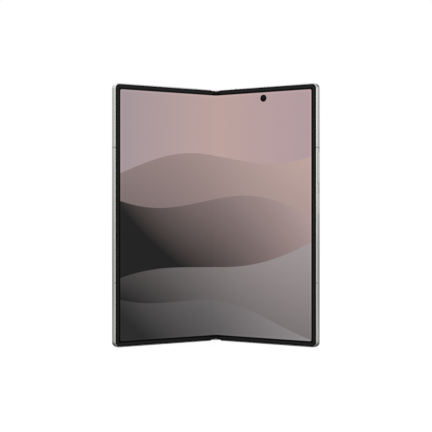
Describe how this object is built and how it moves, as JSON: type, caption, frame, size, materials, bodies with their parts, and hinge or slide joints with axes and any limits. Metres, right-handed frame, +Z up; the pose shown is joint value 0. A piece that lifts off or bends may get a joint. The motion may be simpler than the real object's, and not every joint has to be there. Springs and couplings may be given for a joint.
{
  "type": "foldable smartphone",
  "caption": "Book-style folding smartphone: two thin halves on a geared spine hinge, folding inner screen, cover screen, rear camera island, side keys and card tray.",
  "frame": {"origin": "middle of the part-open phone's footprint, at its lower edge", "axes": "+Z up along the fold, -Y is the way the inner screen faces, +X to the right as the screen is read"},
  "size_m": [0.1248, 0.0411, 0.1584],
  "materials": {
    "satin_alloy": "satin",
    "ring_alloy": "satin",
    "hinge_steel": "brushed",
    "gear_steel": "polished",
    "screw_steel": "satin",
    "spring_steel": "polished",
    "bearing_bronze": "satin",
    "shield_steel": "satin",
    "switch_metal": "satin",
    "panel_plate": "matte",
    "folding_panel": "gloss",
    "cover_panel": "gloss",
    "soft_bezel": "matte",
    "band_plastic": "satin",
    "polyimide_flex": "satin",
    "cover_glass": "gloss",
    "back_glass": "satin",
    "lens_glass": "gloss",
    "camera_black": "satin",
    "battery_foil": "satin",
    "circuit_board": "satin",
    "flash_plastic": "gloss",
    "port_plastic": "satin",
    "copper_coil": "satin"
  },
  "bodies": {
    "spine": {"spine_cover": "satin_alloy", "spine_end_caps": "satin_alloy", "hinge_bases": "hinge_steel", "base_screws": "screw_steel", "friction_springs": "spring_steel", "friction_washers": "bearing_bronze", "display_fold": "folding_panel", "fold_bezel": "soft_bezel", "hinge_flex_cables": "polyimide_flex"},
    "left_idlers": {"idler_gears_left": "gear_steel"},
    "right_idlers": {"idler_gears_right": "gear_steel"},
    "left_arms": {"swing_arms_left": "hinge_steel", "gear_shafts_left": "gear_steel"},
    "right_arms": {"swing_arms_right": "hinge_steel", "gear_shafts_right": "gear_steel"},
    "left_half": {"left_frame": "satin_alloy", "left_antenna_bands": "band_plastic", "rotating_brackets_left": "hinge_steel", "left_bracket_screws": "screw_steel", "left_support_plate": "panel_plate", "display_left": "folding_panel", "bezel_left": "soft_bezel", "cover_glass": "cover_glass", "cover_display": "cover_panel", "cover_camera": "camera_black", "left_battery": "battery_foil", "left_upper_board": "circuit_board", "left_lower_board": "circuit_board", "card_reader": "shield_steel", "earpiece_speaker": "camera_black"},
    "right_half": {"right_frame": "satin_alloy", "right_antenna_bands": "band_plastic", "rotating_brackets_right": "hinge_steel", "right_bracket_screws": "screw_steel", "right_support_plate": "panel_plate", "display_right": "folding_panel", "bezel_right": "soft_bezel", "back_glass": "back_glass", "camera_island": "satin_alloy", "lens_rings": "ring_alloy", "lens_windows": "lens_glass", "camera_modules": "camera_black", "flash_window": "flash_plastic", "inner_camera": "camera_black", "right_battery": "battery_foil", "main_board": "circuit_board", "board_shields": "shield_steel", "port_board": "circuit_board", "charging_port": "shield_steel", "port_tongue": "port_plastic", "loudspeaker": "camera_black", "vibration_motor": "shield_steel", "charging_coil": "copper_coil", "key_switches": "switch_metal"},
    "card_tray": {"card_tray": "satin_alloy"},
    "volume_key": {"volume_key": "satin_alloy"},
    "side_key": {"side_key": "satin_alloy"}
  },
  "joints": [
    {"name": "left_fold", "type": "hinge", "parent": "spine", "child": "left_half", "pos_m": [-0.00125, 0.01735, 0.0792], "axis": [0, 0, 1], "range_deg": [-32, 58], "deforming": ["display_fold", "fold_bezel", "hinge_flex_cables"]},
    {"name": "right_fold", "type": "hinge", "parent": "spine", "child": "right_half", "pos_m": [0.00125, 0.01735, 0.0792], "axis": [0, 0, -1], "range_deg": [-32, 58]},
    {"name": "left_arm_swing", "type": "hinge", "parent": "spine", "child": "left_arms", "pos_m": [-0.00185, 0.01795, 0.0792], "axis": [0, 0, 1], "range_deg": [-32, 58]},
    {"name": "right_arm_swing", "type": "hinge", "parent": "spine", "child": "right_arms", "pos_m": [0.00185, 0.01795, 0.0792], "axis": [0, 0, -1], "range_deg": [-32, 58]},
    {"name": "left_idler_spin", "type": "hinge", "parent": "spine", "child": "left_idlers", "pos_m": [-0.00062, 0.01795, 0.0792], "axis": [0, 0, -1], "range_deg": [-32, 58]},
    {"name": "right_idler_spin", "type": "hinge", "parent": "spine", "child": "right_idlers", "pos_m": [0.00062, 0.01795, 0.0792], "axis": [0, 0, 1], "range_deg": [-32, 58]},
    {"name": "card_tray_slide", "type": "slide", "parent": "left_half", "child": "card_tray", "axis": [0, 0, -1], "range_m": [0, 0.024]},
    {"name": "volume_key_rock", "type": "hinge", "parent": "right_half", "child": "volume_key", "pos_m": [0.06021, -0.01819, 0.1076], "axis": [0.5299, 0.848, 0], "range_deg": [-1.2, 1.2], "stiffness_Nm_per_rad": 0.4},
    {"name": "side_key_press", "type": "slide", "parent": "right_half", "child": "side_key", "axis": [-0.848, 0.5299, 0], "range_m": [0, 0.00025], "stiffness_N_per_m": 2000}
  ],
  "couplings": [
    {"joint": "right_fold", "follows": "left_fold", "ratio": 1},
    {"joint": "left_arm_swing", "follows": "left_fold", "ratio": 1},
    {"joint": "right_arm_swing", "follows": "left_fold", "ratio": 1},
    {"joint": "left_idler_spin", "follows": "left_fold", "ratio": 1},
    {"joint": "right_idler_spin", "follows": "left_fold", "ratio": 1}
  ]
}
